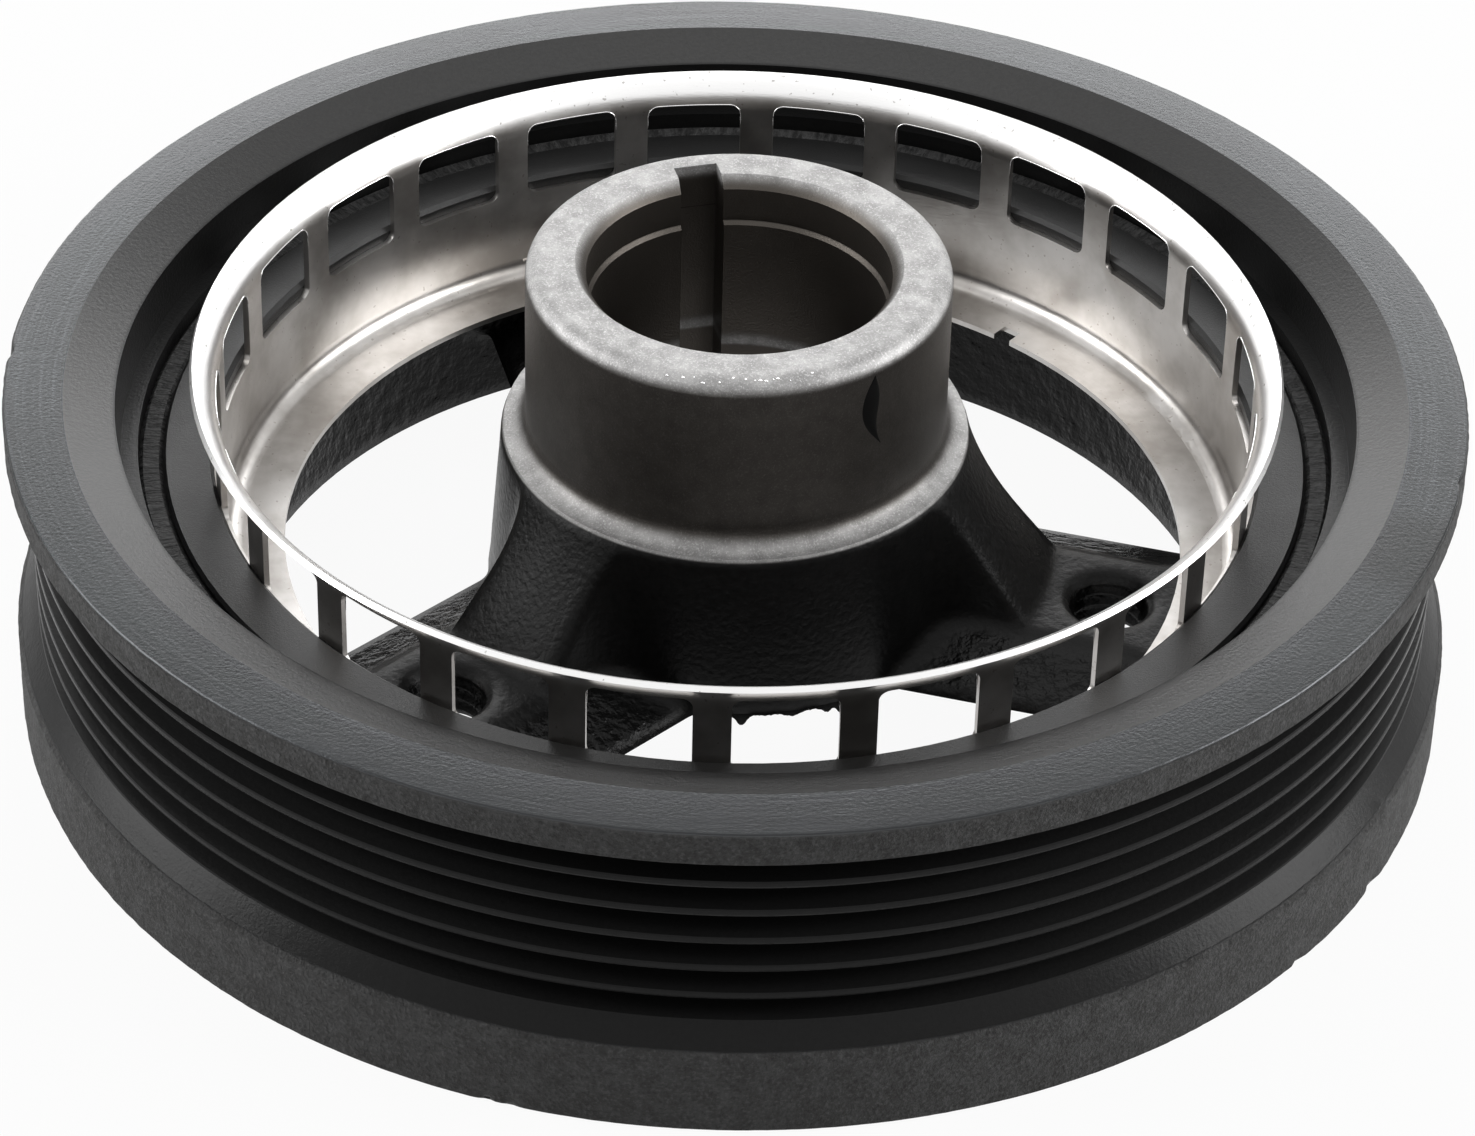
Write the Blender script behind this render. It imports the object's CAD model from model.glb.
import math
import random

import bpy
from mathutils import Matrix, Vector, noise


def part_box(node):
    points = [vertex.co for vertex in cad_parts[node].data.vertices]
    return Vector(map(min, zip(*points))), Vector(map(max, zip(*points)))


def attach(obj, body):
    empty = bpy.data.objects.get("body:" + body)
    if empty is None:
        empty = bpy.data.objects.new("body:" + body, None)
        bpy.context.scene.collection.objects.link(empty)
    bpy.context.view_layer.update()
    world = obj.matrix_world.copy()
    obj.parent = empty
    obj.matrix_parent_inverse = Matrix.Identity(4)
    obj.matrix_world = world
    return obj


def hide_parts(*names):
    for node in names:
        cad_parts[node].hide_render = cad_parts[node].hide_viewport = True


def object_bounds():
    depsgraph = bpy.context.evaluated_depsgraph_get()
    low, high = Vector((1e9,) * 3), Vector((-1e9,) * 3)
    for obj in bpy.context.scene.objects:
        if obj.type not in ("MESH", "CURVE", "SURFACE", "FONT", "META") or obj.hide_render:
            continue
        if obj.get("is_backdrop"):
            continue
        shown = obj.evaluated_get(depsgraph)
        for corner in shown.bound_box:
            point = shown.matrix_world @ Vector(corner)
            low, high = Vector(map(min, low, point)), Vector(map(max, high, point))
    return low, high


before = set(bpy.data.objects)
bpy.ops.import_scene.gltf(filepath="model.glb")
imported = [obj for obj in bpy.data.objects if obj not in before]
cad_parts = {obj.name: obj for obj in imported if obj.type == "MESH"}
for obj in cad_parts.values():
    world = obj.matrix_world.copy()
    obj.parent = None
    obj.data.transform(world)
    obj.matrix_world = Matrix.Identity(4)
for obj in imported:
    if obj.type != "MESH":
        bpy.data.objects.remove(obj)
bounds_at_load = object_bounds()

MM = 0.001
TAU = 2 * math.pi

# ------------------------------------------------------------------ sizes, in mm
# The pulley ring. Its reach and its top are the frame's.
RING_R = round(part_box("pulley_ring")[1][0] / MM, 3)
RING_TOP = round(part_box("pulley_ring")[1][2] / MM, 3)
FACE_INNER_R = 72.0
CONE_INNER_R = 66.6
CONE_FOOT_R = 66.25
CONE_DROP = 1.8
LEDGE_Z = RING_TOP - 7.3
RING_BORE_R = 64.4
EDGE = 0.35
FRONT_RELIEF_R = 68.6
FRONT_RELIEF = 1.6
# The belt grooves.
UPPER_FLANGE_Z = RING_TOP - 3.65
LOWER_FLANGE_Z = 9.7
FIRST_GROOVE_Z = RING_TOP - 6.3
GROOVES = 6
PITCH = 3.56
GROOVE_ANGLE = 40.0
TIP_R = 76.1
TIP_FLAT = 0.55
ROOT_FLAT = 0.5
HALF_TIP_GAP = (PITCH - TIP_FLAT) / 2
ROOT_R = TIP_R - (HALF_TIP_GAP - ROOT_FLAT / 2) / math.tan(math.radians(GROOVE_ANGLE / 2))
# The hub.
SLEEVE_TOP = round(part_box("hub")[1][2] / MM, 3)
SLEEVE_R = 22.75
SLEEVE_ROUND = 1.8
SHOULDER_R = 25.15
SHOULDER_Z = 31.6
KEYWAY_R = 19.475
ENTRY_R = 16.3
ENTRY_STEP_Z = SLEEVE_TOP - 5.2
TURNED_RIM_R = 56.05
BOSS_PARTING_R = 26.9
ARM_TOP = 17.0
ARM_FOOT = 11.0
ARM_PHASE = 105.2
PARTING_Z = 12.6
PULLER_R = 42.3
THREAD_PITCH = 1.5
# The timing ring.
SHEET = 0.65
WALL_R = 56.35
LIP_Z = 36.4
LIP_ROLL_R = 4.15
WINDOWS = 24
WINDOW_PHASE = 20.9
WINDOW_TOP = 37.5
WINDOW_CORNER = 1.2
BAR_ANGLE = 3.9


# ------------------------------------------------------------------ material helpers
class Finish:
    """A material whose look is made of nodes that read only where a point is on the part."""

    def __init__(self, name):
        self.mat = bpy.data.materials.new(name)
        self.mat.use_nodes = True
        self.tree = self.mat.node_tree
        self.bsdf = self.tree.nodes["Principled BSDF"]
        coords = self.tree.nodes.new("ShaderNodeTexCoord")
        scale = self.tree.nodes.new("ShaderNodeVectorMath")
        scale.operation = "SCALE"
        scale.inputs["Scale"].default_value = 1 / MM
        self.tree.links.new(coords.outputs["Object"], scale.inputs[0])
        self.pos = scale.outputs["Vector"]
        split = self.tree.nodes.new("ShaderNodeSeparateXYZ")
        self.tree.links.new(self.pos, split.inputs[0])
        self.x, self.y, self.z = split.outputs
        self.r = self.math("SQRT", self.add(self.mul(self.x, self.x), self.mul(self.y, self.y)))
        self.angle = self.math("ARCTAN2", self.y, self.x)

    def put(self, socket, value):
        """Give a socket a fixed value, or the output of another node."""
        if isinstance(value, bpy.types.NodeSocket):
            self.tree.links.new(value, socket)
        else:
            socket.default_value = value

    def math(self, op, a, b=0.0):
        """One sum of two numbers, by the name Blender has for it."""
        node = self.tree.nodes.new("ShaderNodeMath")
        node.operation = op
        self.put(node.inputs[0], a)
        self.put(node.inputs[1], b)
        return node.outputs[0]

    def add(self, a, b):
        return self.math("ADD", a, b)

    def sub(self, a, b):
        return self.math("SUBTRACT", a, b)

    def mul(self, a, b):
        return self.math("MULTIPLY", a, b)

    def step(self, value, low, high):
        """0 below low, 1 above high, smooth between."""
        node = self.tree.nodes.new("ShaderNodeMapRange")
        node.interpolation_type = "SMOOTHSTEP"
        self.put(node.inputs["Value"], value)
        node.inputs["From Min"].default_value = low
        node.inputs["From Max"].default_value = high
        return node.outputs[0]

    def fall(self, value, low, high):
        """1 below low, 0 above high, smooth between."""
        return self.unless(self.step(value, low, high))

    def above(self, value, edge, soft=0.1):
        """1 above the edge, 0 below it."""
        return self.step(value, edge - soft, edge + soft)

    def below(self, value, edge, soft=0.1):
        """1 below the edge, 0 above it."""
        return self.fall(value, edge - soft, edge + soft)

    def band(self, value, middle, half, soft):
        """1 within half a width of the middle, 0 beyond it, each edge smooth over twice soft."""
        return self.mul(self.above(value, middle - half, soft), self.below(value, middle + half, soft))

    def most(self, *values):
        """The largest of several numbers."""
        largest = values[0]
        for value in values[1:]:
            largest = self.math("MAXIMUM", largest, value)
        return largest

    def unless(self, value):
        """What is left of 1."""
        return self.sub(1.0, value)

    def near(self, degrees, half, soft):
        """1 within half a width of this bearing round the axis, 0 beyond the soft edge."""
        turned = math.radians(degrees)
        along = self.add(self.mul(self.x, math.cos(turned)), self.mul(self.y, math.sin(turned)))
        cosine = self.math("DIVIDE", along, self.math("MAXIMUM", self.r, 0.001))
        return self.step(cosine, math.cos(math.radians(half + soft)), math.cos(math.radians(half)))

    def vector(self, x, y, z):
        """Three numbers as one place."""
        node = self.tree.nodes.new("ShaderNodeCombineXYZ")
        self.put(node.inputs[0], x)
        self.put(node.inputs[1], y)
        self.put(node.inputs[2], z)
        return node.outputs[0]

    def noise(self, scale, detail=3.0, rough=0.55, at=None):
        """Smooth random numbers from 0 to 1. The scale is in waves per mm."""
        node = self.tree.nodes.new("ShaderNodeTexNoise")
        self.put(node.inputs["Vector"], self.pos if at is None else at)
        node.inputs["Scale"].default_value = scale
        node.inputs["Detail"].default_value = detail
        node.inputs["Roughness"].default_value = rough
        return node.outputs["Fac"]

    def mix(self, share, a, b):
        """A colour that runs from a to b as share runs from 0 to 1."""
        node = self.tree.nodes.new("ShaderNodeMix")
        node.data_type = "RGBA"
        self.put(node.inputs["Factor"], share)
        self.put(node.inputs["A"], a)
        self.put(node.inputs["B"], b)
        return node.outputs["Result"]

    def blend(self, share, a, b):
        """A number that runs from a to b as share runs from 0 to 1."""
        node = self.tree.nodes.new("ShaderNodeMix")
        node.data_type = "FLOAT"
        self.put(node.inputs[0], share)
        self.put(node.inputs[2], a)
        self.put(node.inputs[3], b)
        return node.outputs[0]

    def bump(self, height, strength, distance_mm, under=None):
        """The normal of a surface with this relief, laid over the one under it."""
        node = self.tree.nodes.new("ShaderNodeBump")
        node.inputs["Strength"].default_value = strength
        node.inputs["Distance"].default_value = distance_mm * MM
        self.put(node.inputs["Height"], height)
        if under is not None:
            self.put(node.inputs["Normal"], under)
        return node.outputs["Normal"]

    def soft_edges(self, radius):
        """The normal with edges rounded off by this many metres, as thick paint does."""
        node = self.tree.nodes.new("ShaderNodeBevel")
        node.samples = 8
        self.put(node.inputs["Radius"], radius)
        return node.outputs["Normal"]

    def round_the_axis(self):
        """Turn the highlights as tool marks round the axis do."""
        node = self.tree.nodes.new("ShaderNodeTangent")
        node.direction_type = "RADIAL"
        node.axis = "Z"
        self.put(self.bsdf.inputs["Tangent"], node.outputs[0])

    def set(self, name, value):
        """Give the material this value or node output under one of its names."""
        self.put(self.bsdf.inputs[name], value)


def grey(value, warm=0.0):
    """A grey of this linear value, a share warmer than neutral."""
    return (value * (1 + warm), value, value * (1 - warm), 1.0)


# ------------------------------------------------------------------ finishes
def turned_face(f, speckle, lathe):
    """The turned top of the ring: fine tool marks, dark pores and one smudge."""
    smudge_bearing = 337.0
    cloud = f.noise(0.05, 3.0, 0.5)
    face = f.mix(cloud, grey(0.036, -0.03), grey(0.050, -0.05))
    face = f.mix(f.mul(f.step(lathe, 0.45, 0.75), 0.3), face, grey(0.085, -0.04))
    face = f.mix(f.mul(f.step(speckle, 0.52, 0.72), 0.4), face, grey(0.030))
    return f.mix(f.mul(f.near(smudge_bearing, 2.0, 4.5), 0.55), face, grey(0.028))


def casting_skin(f, speckle):
    """The as-cast bands: soft lumps with lighter and darker grains."""
    lumps = f.noise(0.55, 4.0, 0.6)
    skin = f.mix(f.step(lumps, 0.30, 0.75), grey(0.034, 0.02), grey(0.062))
    skin = f.mix(f.mul(f.step(speckle, 0.5, 0.68), 0.6), skin, grey(0.105))
    return f.mix(f.mul(f.fall(speckle, 0.34, 0.46), 0.6), skin, grey(0.014))


def ring_finish():
    """Turned faces of dark iron, black grooves and rough as-cast flanges."""
    f = Finish("ring_iron")
    speckle = f.noise(2.3, 4.0, 0.65)
    lathe = f.noise(5.0, 2.0, 0.6, at=f.vector(f.r, f.mul(f.angle, 0.8), f.z))
    cone = f.mix(speckle, grey(0.050, 0.01), grey(0.032))
    groove = f.mix(speckle, grey(0.010), grey(0.018))
    wall = f.mix(speckle, grey(0.006), grey(0.012))
    flange_r = RING_R - 0.5
    flange_z = RING_TOP - 0.21
    below_face = f.below(f.z, flange_z, 0.09)
    is_cast = f.mul(f.above(f.r, flange_r), below_face)
    is_groove = f.mul(f.mul(f.below(f.r, flange_r), below_face), f.above(f.r, ROOT_R - 0.2, 0.15))
    on_cone = f.below(f.r, FACE_INNER_R)
    in_recess = f.below(f.r, CONE_INNER_R + 0.25, 0.15)
    colour = f.mix(on_cone, turned_face(f, speckle, lathe), cone)
    colour = f.mix(is_groove, colour, groove)
    colour = f.mix(is_cast, colour, casting_skin(f, speckle))
    unturned = f.most(is_cast, is_groove, in_recess)
    f.set("Base Color", f.mix(in_recess, colour, wall))
    f.set("Metallic", f.blend(unturned, 0.9, 0.0))
    f.set("Specular IOR Level", f.blend(unturned, 0.35, f.blend(is_groove, 0.22, 0.10)))
    f.set("Roughness", f.blend(is_cast, f.blend(on_cone, 0.25, 0.30), 0.7))
    f.set("Anisotropic", 0.1)
    f.round_the_axis()
    marks = f.bump(lathe, 0.2, 0.05)
    f.set("Normal", f.bump(f.mul(speckle, f.blend(is_cast, 0.12, 1.0)), 1.0, 0.35, marks))
    return f.mat


def rubber_finish():
    """Black rubber, wrinkled across where it was squeezed in."""
    f = Finish("rubber_black")
    wrinkles = f.noise(0.9, 3.0, 0.6, at=f.vector(f.mul(f.r, 0.6), f.mul(f.angle, 110.0), f.z))
    f.set("Base Color", f.mix(f.step(wrinkles, 0.35, 0.65), grey(0.008), grey(0.045)))
    f.set("Roughness", 0.6)
    f.set("Specular IOR Level", 0.3)
    f.set("Normal", f.bump(wrinkles, 1.0, 0.6))
    return f.mat


def machined_metal(f, grain, bright, in_bore, on_rim):
    """The hub's cut faces: pale sleeve top, browned sleeve side and bore, dark turned rim."""
    blotch = f.noise(0.45, 4.0, 0.6)
    cloud = f.noise(0.12, 3.0, 0.5)
    side = f.mix(blotch, grey(0.036, 0.09), grey(0.080, 0.08))
    side = f.mix(f.mul(f.step(grain, 0.5, 0.75), 0.35), side, grey(0.16, 0.05))
    top = f.mix(f.step(blotch, 0.30, 0.75), grey(0.26, 0.01), grey(0.40, 0.01))
    top = f.mix(f.step(grain, 0.48, 0.78), top, grey(0.62, 0.01))
    bore = f.mix(cloud, grey(0.050, 0.12), grey(0.085, 0.12))
    bore = f.mix(f.band(f.z, ENTRY_STEP_Z - 0.01, 0.04, 0.06), bore, grey(0.022, 0.12))
    rim = f.mix(cloud, grey(0.022), grey(0.042))
    metal = f.mix(bright, side, top)
    metal = f.mix(f.mul(in_bore, f.unless(bright)), metal, bore)
    return f.mix(on_rim, metal, rim)


def hub_finish():
    """Black gloss paint on the casting, and bare metal where it was cut."""
    paint_softness = 2.4 * MM
    cut_softness = 0.05 * MM
    arm_from = 27.0
    arm_full = 32.0
    f = Finish("hub_iron")
    grain = f.noise(4.5, 4.0, 0.7)
    peel = f.noise(1.5, 2.0, 0.5)
    wrinkle = f.noise(0.55, 3.0, 0.55)
    on_sleeve = f.mul(f.below(f.r, SHOULDER_R + 0.125, 0.075), f.above(f.z, SHOULDER_Z - 0.55, 0.25))
    in_bore = f.below(f.r, KEYWAY_R + 0.225)
    on_rim = f.above(f.r, TURNED_RIM_R, 0.15)
    machined = f.most(on_sleeve, in_bore, on_rim)
    painted = f.unless(machined)
    down_the_bore = f.mul(in_bore, f.below(f.r, ENTRY_R + 0.6, 0.7))
    on_top = f.mul(f.above(f.z, SLEEVE_TOP - 1.35, 0.7), f.unless(down_the_bore))
    on_fillet = f.below(f.z, SHOULDER_Z + 0.8, 0.8)
    bright = f.mul(f.most(on_top, f.mul(on_fillet, 0.85)), on_sleeve)
    on_arm = f.mul(f.step(f.r, arm_from, arm_full), f.below(f.z, ARM_TOP - 0.8, 0.4))
    paint = f.mix(peel, grey(0.003), grey(0.007))
    gloss = f.mul(f.blend(peel, 0.24, 0.42), f.unless(f.mul(on_arm, 0.35)))
    f.set("Base Color", f.mix(machined, paint, machined_metal(f, grain, bright, in_bore, on_rim)))
    f.set("Metallic", f.mul(machined, 0.85))
    f.set("Specular IOR Level", f.blend(machined, 0.13, 0.3))
    f.set("Roughness", f.blend(machined, gloss, f.blend(bright, 0.36, 0.58)))
    soft = f.soft_edges(f.blend(machined, paint_softness, cut_softness))
    skin = f.bump(f.mul(peel, painted), 0.4, 0.18, soft)
    skin = f.bump(f.mul(f.mul(wrinkle, on_arm), painted), 0.6, 0.7, skin)
    f.set("Normal", f.bump(f.mul(grain, machined), 0.45, 0.09, skin))
    return f.mat


def reluctor_finish():
    """Bright rolled steel with cloudy stains and small dark specks, palest on its lip."""
    f = Finish("reluctor_steel")
    cloud = f.noise(0.10, 4.0, 0.6)
    grain = f.noise(2.6, 3.0, 0.6, at=f.vector(f.r, f.mul(f.angle, 18.0), f.mul(f.z, 2.0)))
    specks = f.step(f.noise(1.6, 1.0, 0.5), 0.70, 0.76)
    on_lip = f.above(f.z, LIP_Z + 1.7, 0.9)
    steel = f.mix(f.step(cloud, 0.3, 0.7), grey(0.31, 0.06), grey(0.52, 0.03))
    steel = f.mix(on_lip, steel, grey(0.93, 0.005))
    f.set("Base Color", f.mix(f.mul(specks, 0.6), steel, grey(0.22, 0.1)))
    f.set("Metallic", 1.0)
    f.set("Roughness", f.blend(cloud, 0.24, 0.38))
    f.set("Normal", f.bump(grain, 0.3, 0.04))
    return f.mat


def simple_finish(name, colour, roughness, metallic=0.0, gloss=0.5):
    """One colour all over."""
    f = Finish(name)
    f.set("Base Color", colour)
    f.set("Roughness", roughness)
    f.set("Metallic", metallic)
    f.set("Specular IOR Level", gloss)
    return f.mat


FINISHES = {
    "pulley_ring": ring_finish(),
    "rubber_ring": rubber_finish(),
    "hub": hub_finish(),
    "reluctor_ring": reluctor_finish(),
    "paint": simple_finish("paint_black", grey(0.003), 0.45, gloss=0.08),
    "burr": simple_finish("burr_steel", grey(0.95), 0.18, 1.0),
}
for node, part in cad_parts.items():
    for slot in part.material_slots:
        slot.material = FINISHES[node]


# ------------------------------------------------------------------ mesh helpers
def round_point(radius, degrees, z):
    """A point in mm, from its distance from the axis, its bearing and its height."""
    turned = math.radians(degrees)
    return (radius * math.cos(turned), radius * math.sin(turned), z)


def polar(radius, degrees, z):
    """The same point in metres, the frame's unit."""
    return tuple(value * MM for value in round_point(radius, degrees, z))


def between(start, end, share):
    """The row of numbers this share of the way from one row to another."""
    return tuple(a + (b - a) * share for a, b in zip(start, end))


def grid_faces(rows, width, start=0, closed=False, looped=False):
    """The faces between rows of points. Closed joins a row's two ends, looped the last row to the first."""
    faces = []
    for i in range(rows if looped else rows - 1):
        ahead = (i + 1) % rows
        for k in range(width if closed else width - 1):
            over = (k + 1) % width
            corners = (i * width + k, i * width + over, ahead * width + over, ahead * width + k)
            faces.append(tuple(start + corner for corner in corners))
    return faces


def piece(name, verts, faces, material, smooth=True):
    """A mesh piece that stands still on the part."""
    mesh = bpy.data.meshes.new(name)
    mesh.from_pydata(verts, [], faces)
    mesh.validate()
    mesh.update()
    for polygon in mesh.polygons:
        polygon.use_smooth = smooth
    obj = bpy.data.objects.new(name, mesh)
    bpy.context.scene.collection.objects.link(obj)
    obj.data.materials.append(material)
    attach(obj, "root")
    return obj


def tubes(name, paths, radius, material, sides=6):
    """Thin round ridges along paths of points, in mm, tapering away at both ends."""
    thinnest = 0.15
    verts = []
    faces = []
    for path in paths:
        start = len(verts)
        last = len(path) - 1
        for i, point in enumerate(path):
            here = Vector(point)
            along = (Vector(path[min(i + 1, last)]) - Vector(path[max(i - 1, 0)])).normalized()
            across = along.cross(Vector((0, 0, 1)))
            across = across.normalized() if across.length > 0.01 else Vector((1, 0, 0))
            up = across.cross(along)
            thick = radius * (thinnest + (1 - thinnest) * min(1.0, 3 * i / last, 3 * (last - i) / last))
            for k in range(sides):
                turned = TAU * k / sides
                spot = here + thick * (math.cos(turned) * across + math.sin(turned) * up)
                verts.append(tuple(spot * MM))
        faces += grid_faces(last + 1, sides, start, closed=True)
        faces.append(tuple(start + k for k in reversed(range(sides))))
        faces.append(tuple(start + last * sides + k for k in range(sides)))
    return piece(name, verts, faces, material)


# ------------------------------------------------------------------ pieces that dress the solids
# Dents in the ring's edges: bearing, height, half width and depth.
NICKS = (
    (179.5, 38.2, 1.0, 0.55),
    (347.5, 38.2, 1.2, 0.45),
    (252.7, 0.2, 0.7, 0.55),
    (254.5, 0.4, 0.9, 0.45),
    (320.0, 0.2, 0.8, 0.40),
    (331.2, 0.3, 1.1, 0.50),
    (331.7, 9.6, 0.9, 0.45),
)
NICK_HALF_HEIGHT = 0.9
# Depths of the casting skin's fine and broad hollows, in mm.
FINE_HOLLOW = 0.13
BROAD_HOLLOW = 0.07
# Teeth of the flash at the parting line: bearing, depth and half width.
FLASH_TEETH = (
    (259, 1.4, 1.6),
    (266, 0.4, 1.5),
    (273, 1.2, 1.4),
    (285, 0.4, 2.5),
    (293, 0.8, 1.6),
    (296, 1.2, 0.9),
)
# Bearings of the bright dents in the sleeve's rounded edge.
GLINTS = (
    251.0, 255.5, 258.5, 261.0, 265.5, 269.0, 272.5,
    275.0, 276.4, 278.0, 280.0, 281.2, 284.5, 291.0,
)


def groove_rows():
    """The belt grooves' section, from the slope under the upper flange to the one over the lower."""
    tip_round = 0.08
    tip_drop = 0.14
    upper = (RING_R, UPPER_FLANGE_Z, 0.6)
    upper_end = (TIP_R, FIRST_GROOVE_Z + HALF_TIP_GAP, 0.1)
    rows = [between(upper, upper_end, 0.05 + 0.95 * i / 3) for i in range(4)]
    for groove in range(GROOVES):
        middle = FIRST_GROOVE_Z - PITCH * groove
        if groove:
            rows.append((TIP_R, middle + HALF_TIP_GAP + tip_round, 0.1))
            rows.append((TIP_R - tip_round, middle + HALF_TIP_GAP - tip_drop, 0.05))
        rows.append((ROOT_R, middle + ROOT_FLAT / 2, 0))
        rows.append((ROOT_R, middle - ROOT_FLAT / 2, 0))
        rows.append((TIP_R - tip_round, middle - HALF_TIP_GAP + tip_drop, 0.05))
        rows.append((TIP_R, middle - HALF_TIP_GAP - tip_round, 0.1))
    lower = (TIP_R, FIRST_GROOVE_Z - PITCH * (GROOVES - 1) - HALF_TIP_GAP, 0.1)
    lower_end = (RING_R, LOWER_FLANGE_Z, 0.8)
    return rows + [between(lower, lower_end, i / 4) for i in range(1, 5)]


def ring_profile():
    """The ring's section as (radius, height, share of the rough casting skin) rows."""
    rows = [(RING_BORE_R, FRONT_RELIEF, 0), (RING_BORE_R, LEDGE_Z, 0), (CONE_FOOT_R, LEDGE_Z, 0)]
    rows += [(CONE_INNER_R, RING_TOP - CONE_DROP, 0), (FACE_INNER_R, RING_TOP, 0)]
    rows += [(RING_R - 2 * EDGE, RING_TOP, 0), (RING_R - EDGE, RING_TOP - 0.02, 0.7)]
    rows += [(RING_R - 0.12, RING_TOP - 0.2, 1.0)]
    flange_top = (RING_R, RING_TOP - EDGE, 1.0)
    flange_foot = (RING_R, UPPER_FLANGE_Z + 0.1, 1.0)
    rows += [between(flange_top, flange_foot, i / 5) for i in range(6)]
    rows += groove_rows()
    flange_top = (RING_R, LOWER_FLANGE_Z, 1.0)
    flange_foot = (RING_R, EDGE, 1.0)
    rows += [between(flange_top, flange_foot, i / 15) for i in range(1, 16)]
    rows += [(RING_R - EDGE, 0, 0.5), (FRONT_RELIEF_R, 0, 0)]
    return rows + [(FRONT_RELIEF_R - FRONT_RELIEF, FRONT_RELIEF, 0)]


def skin_depth(radius, bearing, z):
    """How far the casting skin and its nicks lie inside the true surface here, in mm."""
    spot = Vector(round_point(radius, bearing, z))
    apart = Vector((9, 4, 2))
    fine = 0.5 + 0.5 * noise.noise(spot * 0.9)
    broad = 0.5 + 0.5 * noise.noise(spot * 0.33 + apart)
    depth = FINE_HOLLOW * fine + BROAD_HOLLOW * broad
    for where, height, half, deep in NICKS:
        away = math.radians(bearing - where) * RING_R / half
        rise = (z - height) / NICK_HALF_HEIGHT
        depth += deep * math.exp(-away * away - rise * rise)
    return depth


def dressed_ring():
    """The pulley ring again, with the rough skin of its cast bands and the nicks in its edges."""
    rows = ring_profile()
    count = 800
    sharp_from = math.radians(11)
    verts = []
    for i in range(count):
        bearing = 360 * i / count
        for radius, z, rough in rows:
            sink = rough * skin_depth(radius, bearing, z) if rough else 0.0
            verts.append(polar(radius - sink, bearing, z))
    faces = grid_faces(count, len(rows), closed=True, looped=True)
    obj = piece("dressed_pulley_ring", verts, faces, FINISHES["pulley_ring"])
    obj.data.set_sharp_from_angle(angle=sharp_from)
    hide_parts("pulley_ring")
    return obj


def puller_threads():
    """The thread ridges inside the three tapped holes."""
    steps = 48
    crest_r = 3.72
    crest_half = 0.08
    root_r = 4.27
    root_half = 0.62
    ridge = ((root_r, -root_half), (crest_r, -crest_half), (crest_r, crest_half), (root_r, root_half))
    width = len(ridge)
    low = ARM_FOOT + 0.6
    high = ARM_TOP - 1.3
    count = int((high - low) / THREAD_PITCH * steps)
    verts = []
    faces = []
    for arm in range(3):
        hole = round_point(PULLER_R, ARM_PHASE + 120 * arm, 0)
        start = len(verts)
        for i in range(count + 1):
            z = low + (high - low) * i / count
            for radius, lift in ridge:
                spot = round_point(radius, 360 * i / steps, z + lift)
                verts.append(tuple((a + b) * MM for a, b in zip(hole, spot)))
        faces += grid_faces(count + 1, width, start)
        faces.append(tuple(start + k for k in range(width)))
        faces.append(tuple(start + width * count + k for k in reversed(range(width))))
    return piece("puller_threads", verts, faces, FINISHES["hub"], smooth=False)


def casting_flash():
    """Thin ragged flash left along the parting line at the foot of the boss."""
    rng = random.Random(7)
    count = 190
    first = 256.0
    last = 302.0
    outer_r = BOSS_PARTING_R + 0.15
    fade = 8
    verts = []
    drop = 0.0
    for i in range(count + 1):
        share = i / count
        bearing = first + (last - first) * share
        drop = 0.6 * drop + 0.4 * rng.uniform(-0.2, 1.0)
        hang = 0.10 + 0.25 * drop
        for where, deep, half in FLASH_TEETH:
            hang += deep * math.exp(-(((bearing - where) / half) ** 2))
        hang *= min(1.0, fade * share, fade * (1 - share))
        verts.append(polar(outer_r - 0.3, bearing, PARTING_Z + 0.1))
        verts.append(polar(outer_r, bearing, PARTING_Z - hang))
        verts.append(polar(outer_r - 0.2, bearing, PARTING_Z - hang))
        verts.append(polar(outer_r - 0.6, bearing, PARTING_Z - 0.3))
    faces = grid_faces(count + 1, 4, closed=True)
    faces.append((0, 1, 2, 3))
    faces.append(tuple(4 * count + k for k in reversed(range(4))))
    return piece("casting_flash", verts, faces, FINISHES["hub"], smooth=False)


def paint_run():
    """A run of black paint down the sleeve, bowed to the left and pointed at both ends."""
    rows = 48
    across = 6
    high = 50.3
    low = 41.4
    start = 309.0
    slant = 2.7
    bulge = 5.2
    sway = 0.9
    tip = 0.2
    thin = 0.03
    swell = 0.13
    sunk = -0.02
    verts = []
    for i in range(rows + 1):
        share = i / rows
        z = high + (low - high) * share
        bow = math.sin(math.pi * share)
        left = start + slant * share - bulge * bow
        right = start + slant * share + tip + sway * math.sin(TAU * share)
        for k in range(across + 1):
            side = k / across
            lift = thin + swell * math.sin(math.pi * side) * bow if 0 < k < across else sunk
            verts.append(polar(SLEEVE_R + lift, left + (right - left) * side, z))
    faces = [(a, d, c, b) for a, b, c, d in grid_faces(rows + 1, across + 1)]
    return piece("paint_run", verts, faces, FINISHES["paint"])


def wall_inner_r(z):
    """The radius of the timing ring's inner face at this height."""
    if z <= LIP_Z:
        return WALL_R - SHEET
    roll = LIP_ROLL_R + SHEET
    return WALL_R + LIP_ROLL_R - math.sqrt(roll * roll - (z - LIP_Z) ** 2)


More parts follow.
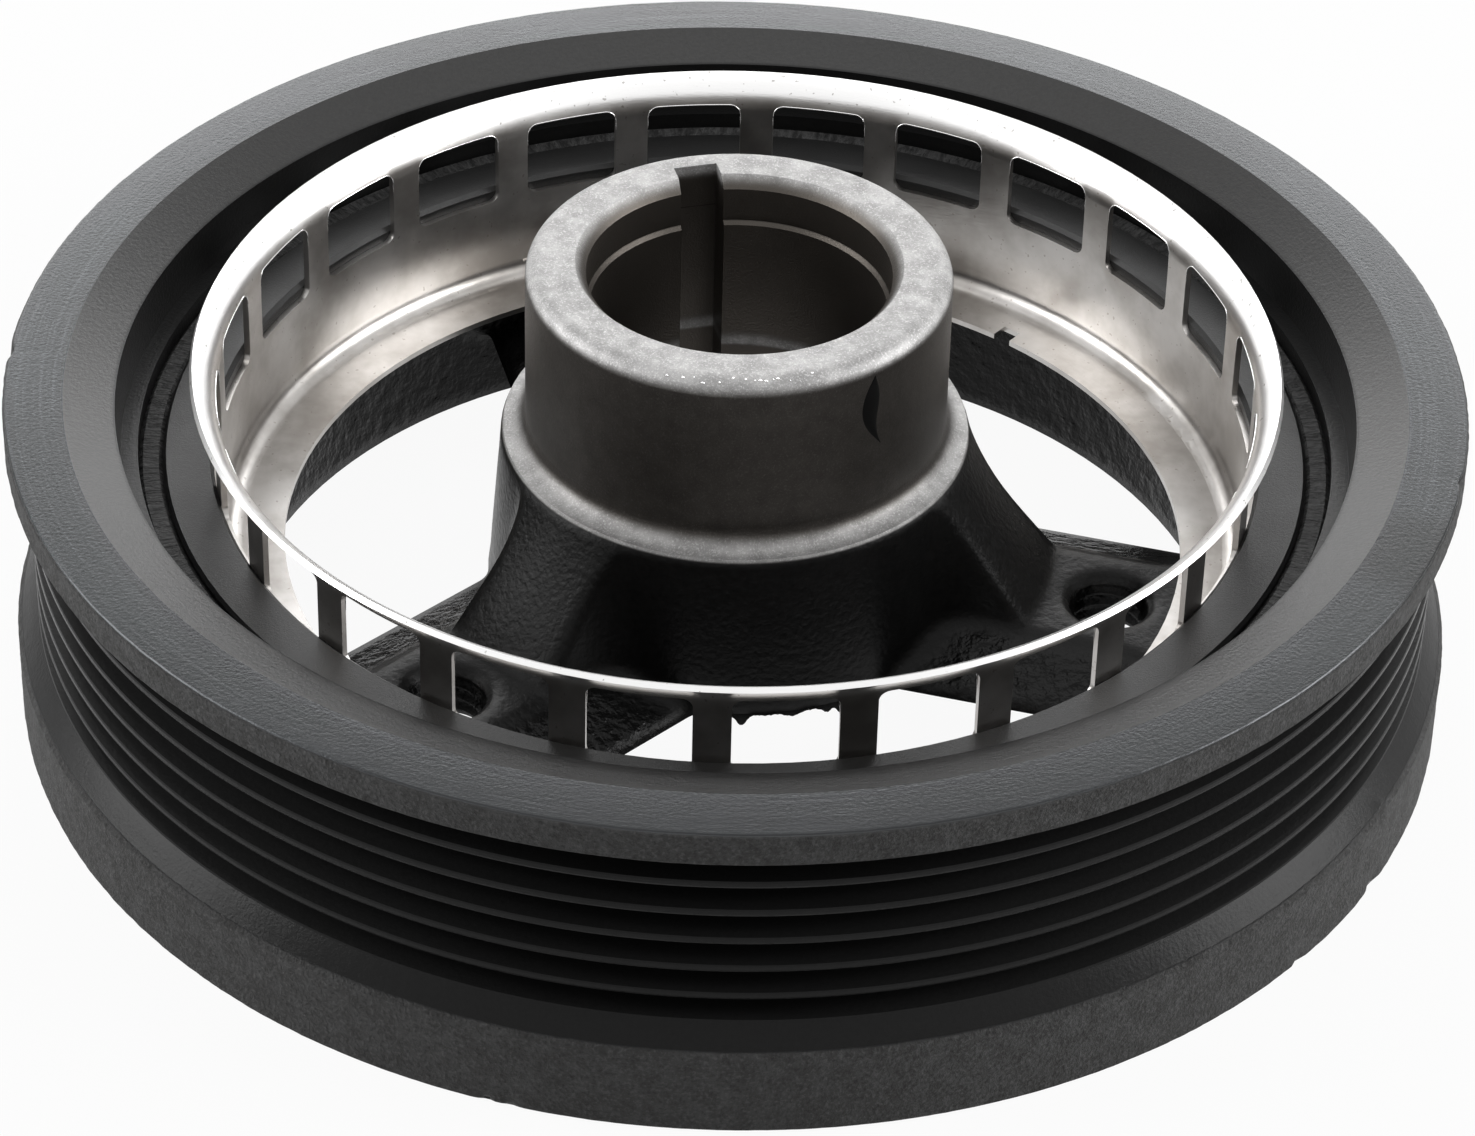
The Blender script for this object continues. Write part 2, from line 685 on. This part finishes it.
def window_edge(middle):
    """Up one side of a window, over its top and down the other, as (bearing, height) pairs."""
    half = 180 / WINDOWS - BAR_ANGLE / 2
    lean = math.degrees(WINDOW_CORNER / WALL_R)
    corner_z = WINDOW_TOP - WINDOW_CORNER
    leg = 1.5
    rise = [(-half, corner_z - leg * (4 - k) / 4) for k in range(4)]
    for k in range(6):
        turned = math.pi / 2 * k / 5
        inward = lean * (1 - math.cos(turned))
        rise.append((inward - half, corner_z + WINDOW_CORNER * math.sin(turned)))
    top = [((half - lean) * (2 * k / 9 - 1), WINDOW_TOP) for k in range(1, 9)]
    descent = [(-turn, z) for turn, z in reversed(rise)]
    return [(middle + turn, z) for turn, z in rise + top + descent]


def window_burrs():
    """The bright edge that the punch rolled up round the top of each window."""
    burr_r = 0.075
    off_wall = 0.02
    paths = []
    for index in range(WINDOWS):
        edge = window_edge(WINDOW_PHASE + 360 / WINDOWS * index)
        paths.append([round_point(wall_inner_r(z) + off_wall, bearing, z) for bearing, z in edge])
    return tubes("window_burrs", paths, burr_r, FINISHES["burr"])


def sleeve_glints():
    """Small bright dents along the sleeve's rounded edge, where it was knocked."""
    rng = random.Random(3)
    glint_r = 0.14
    sunk_r = SLEEVE_ROUND - 0.03
    paths = []
    for bearing in GLINTS:
        lean = math.radians(rng.uniform(44, 70))
        reach = rng.uniform(0.08, 0.35)
        radius = SLEEVE_R - SLEEVE_ROUND + sunk_r * math.cos(lean)
        z = SLEEVE_TOP - SLEEVE_ROUND + sunk_r * math.sin(lean)
        paths.append([round_point(radius, bearing + reach * (k - 2), z) for k in range(5)])
    return tubes("sleeve_glints", paths, glint_r, FINISHES["burr"])


dressed_ring()
puller_threads()
casting_flash()
paint_run()
window_burrs()
sleeve_glints()


# ------------------------------------------------------------------ floor, lamps, camera
WHITE = (1, 1, 1, 1)
FLOOR_Z = -0.05 * MM
FLOOR_REACH = 6.0
FLOOR_GLOW = 0.94
WORLD_LIGHT = 0.15
LAMP_TARGET = Vector((0, 0, 0.03))
# The camera as the photograph's lines of sight fit it: pixels, degrees and metres.
PHOTO_WIDTH_PX = 1475.0
FOCAL_PX = 5209.7
CAMERA_PITCH = 36.592
CAMERA_YAW = 0.0765
CAMERA_ROLL = 1.4994
CAMERA_PLACE = Vector((0.0, -0.46225, 0.35516))
SENSOR_MM = 36.0


def seen_rays(tree):
    """1 for rays that look at the white surroundings, 0 for those that carry their light."""
    path = tree.nodes.new("ShaderNodeLightPath")
    seen = path.outputs["Is Camera Ray"]
    for name in ("Is Transmission Ray", "Is Glossy Ray"):
        either = tree.nodes.new("ShaderNodeMath")
        either.operation = "MAXIMUM"
        tree.links.new(seen, either.inputs[0])
        tree.links.new(path.outputs[name], either.inputs[1])
        seen = either.outputs[0]
    return seen


def light_node(tree, kind, strength):
    """An emission or background node that gives this much white."""
    node = tree.nodes.new(kind)
    node.inputs["Color"].default_value = WHITE
    node.inputs["Strength"].default_value = strength
    return node.outputs[0]


def mixed(tree, share, a, b):
    """The shader that is a where share is 0 and b where it is 1."""
    node = tree.nodes.new("ShaderNodeMixShader")
    for socket, source in zip(node.inputs, (share, a, b)):
        tree.links.new(source, socket)
    return node.outputs[0]


def floor_finish():
    """Matt white, lit by the lamps for the part and almost pure white to look at."""
    mat = bpy.data.materials.new("floor_white")
    mat.use_nodes = True
    tree = mat.node_tree
    bsdf = tree.nodes["Principled BSDF"]
    bsdf.inputs["Base Color"].default_value = (0.8, 0.8, 0.8, 1)
    bsdf.inputs["Roughness"].default_value = 1.0
    bsdf.inputs["Specular IOR Level"].default_value = 0.0
    share = tree.nodes.new("ShaderNodeMath")
    share.operation = "MULTIPLY"
    share.inputs[1].default_value = FLOOR_GLOW
    tree.links.new(seen_rays(tree), share.inputs[0])
    glow = light_node(tree, "ShaderNodeEmission", 1.0)
    surface = mixed(tree, share.outputs[0], bsdf.outputs[0], glow)
    tree.links.new(surface, tree.nodes["Material Output"].inputs["Surface"])
    return mat


def make_floor():
    """A wide white floor, a hair below the part so that the two never share a plane."""
    signs = ((-1, -1), (1, -1), (1, 1), (-1, 1))
    corners = [(x * FLOOR_REACH, y * FLOOR_REACH, FLOOR_Z) for x, y in signs]
    mesh = bpy.data.meshes.new("floor")
    mesh.from_pydata(corners, [], [(0, 1, 2, 3)])
    floor = bpy.data.objects.new("floor", mesh)
    bpy.context.scene.collection.objects.link(floor)
    mesh.materials.append(floor_finish())
    floor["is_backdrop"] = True


def make_world():
    """White to look at, and a faint even light."""
    world = bpy.data.worlds.new("studio")
    bpy.context.scene.world = world
    world.use_nodes = True
    tree = world.node_tree
    for node in list(tree.nodes):
        tree.nodes.remove(node)
    out = tree.nodes.new("ShaderNodeOutputWorld")
    seen = light_node(tree, "ShaderNodeBackground", 1.0)
    lit = light_node(tree, "ShaderNodeBackground", WORLD_LIGHT)
    tree.links.new(mixed(tree, seen_rays(tree), lit, seen), out.inputs["Surface"])


def lamp(name, place, width, height, watts):
    """A soft rectangular lamp that faces the part. Sizes are in metres."""
    light = bpy.data.lights.new(name, "AREA")
    light.shape = "RECTANGLE"
    light.size = width
    light.size_y = height
    light.energy = watts
    obj = bpy.data.objects.new(name, light)
    bpy.context.scene.collection.objects.link(obj)
    obj.location = place
    obj.rotation_euler = (LAMP_TARGET - Vector(place)).to_track_quat("-Z", "Y").to_euler()


def make_lamps():
    """A weak lamp above, a low bright backdrop behind, and a softbox on each side."""
    lamp("softbox_top", (0.0, 0.15, 0.8), 0.6, 0.5, 0.9)
    lamp("backdrop", (0.0, 1.3, 0.65), 1.7, 0.4, 10.0)
    lamp("softbox_left", (-0.8, 0.0, 0.34), 0.5, 0.5, 5.5)
    lamp("softbox_right", (0.8, -0.05, 0.34), 0.5, 0.5, 6.5)


def make_camera():
    """Stands where the fitted lines of sight cross, about 37 degrees above the ring's plane."""
    data = bpy.data.cameras.new("camera")
    data.sensor_fit = "HORIZONTAL"
    data.sensor_width = SENSOR_MM
    data.lens = FOCAL_PX / PHOTO_WIDTH_PX * SENSOR_MM
    data.clip_start = 0.01
    data.clip_end = 50
    cam = bpy.data.objects.new("camera", data)
    bpy.context.scene.collection.objects.link(cam)
    pitch = math.radians(CAMERA_PITCH)
    yaw = math.radians(CAMERA_YAW)
    roll = math.radians(CAMERA_ROLL)
    ahead = Vector((math.sin(yaw) * math.cos(pitch), math.cos(yaw) * math.cos(pitch), -math.sin(pitch)))
    right = ahead.cross(Vector((0, 0, 1))).normalized()
    up = right.cross(ahead)
    right_rolled = math.cos(roll) * right + math.sin(roll) * up
    up_rolled = -math.sin(roll) * right + math.cos(roll) * up
    turn = Matrix((right_rolled, up_rolled, -ahead)).transposed().to_4x4()
    cam.matrix_world = Matrix.Translation(CAMERA_PLACE) @ turn
    bpy.context.scene.camera = cam


make_floor()
make_world()
make_lamps()
make_camera()
bpy.context.scene.view_settings.view_transform = "Standard"

bounds_at_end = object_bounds()


def plain(value):
    """The same value as lists, dictionaries and numbers that JSON can hold."""
    if isinstance(value, (int, float, str)) or value is None:
        return value
    if isinstance(value, dict):
        return {key: plain(item) for key, item in value.items()}
    return [plain(item) for item in value]


{"load": plain(bounds_at_load), "finish": plain(bounds_at_end)}
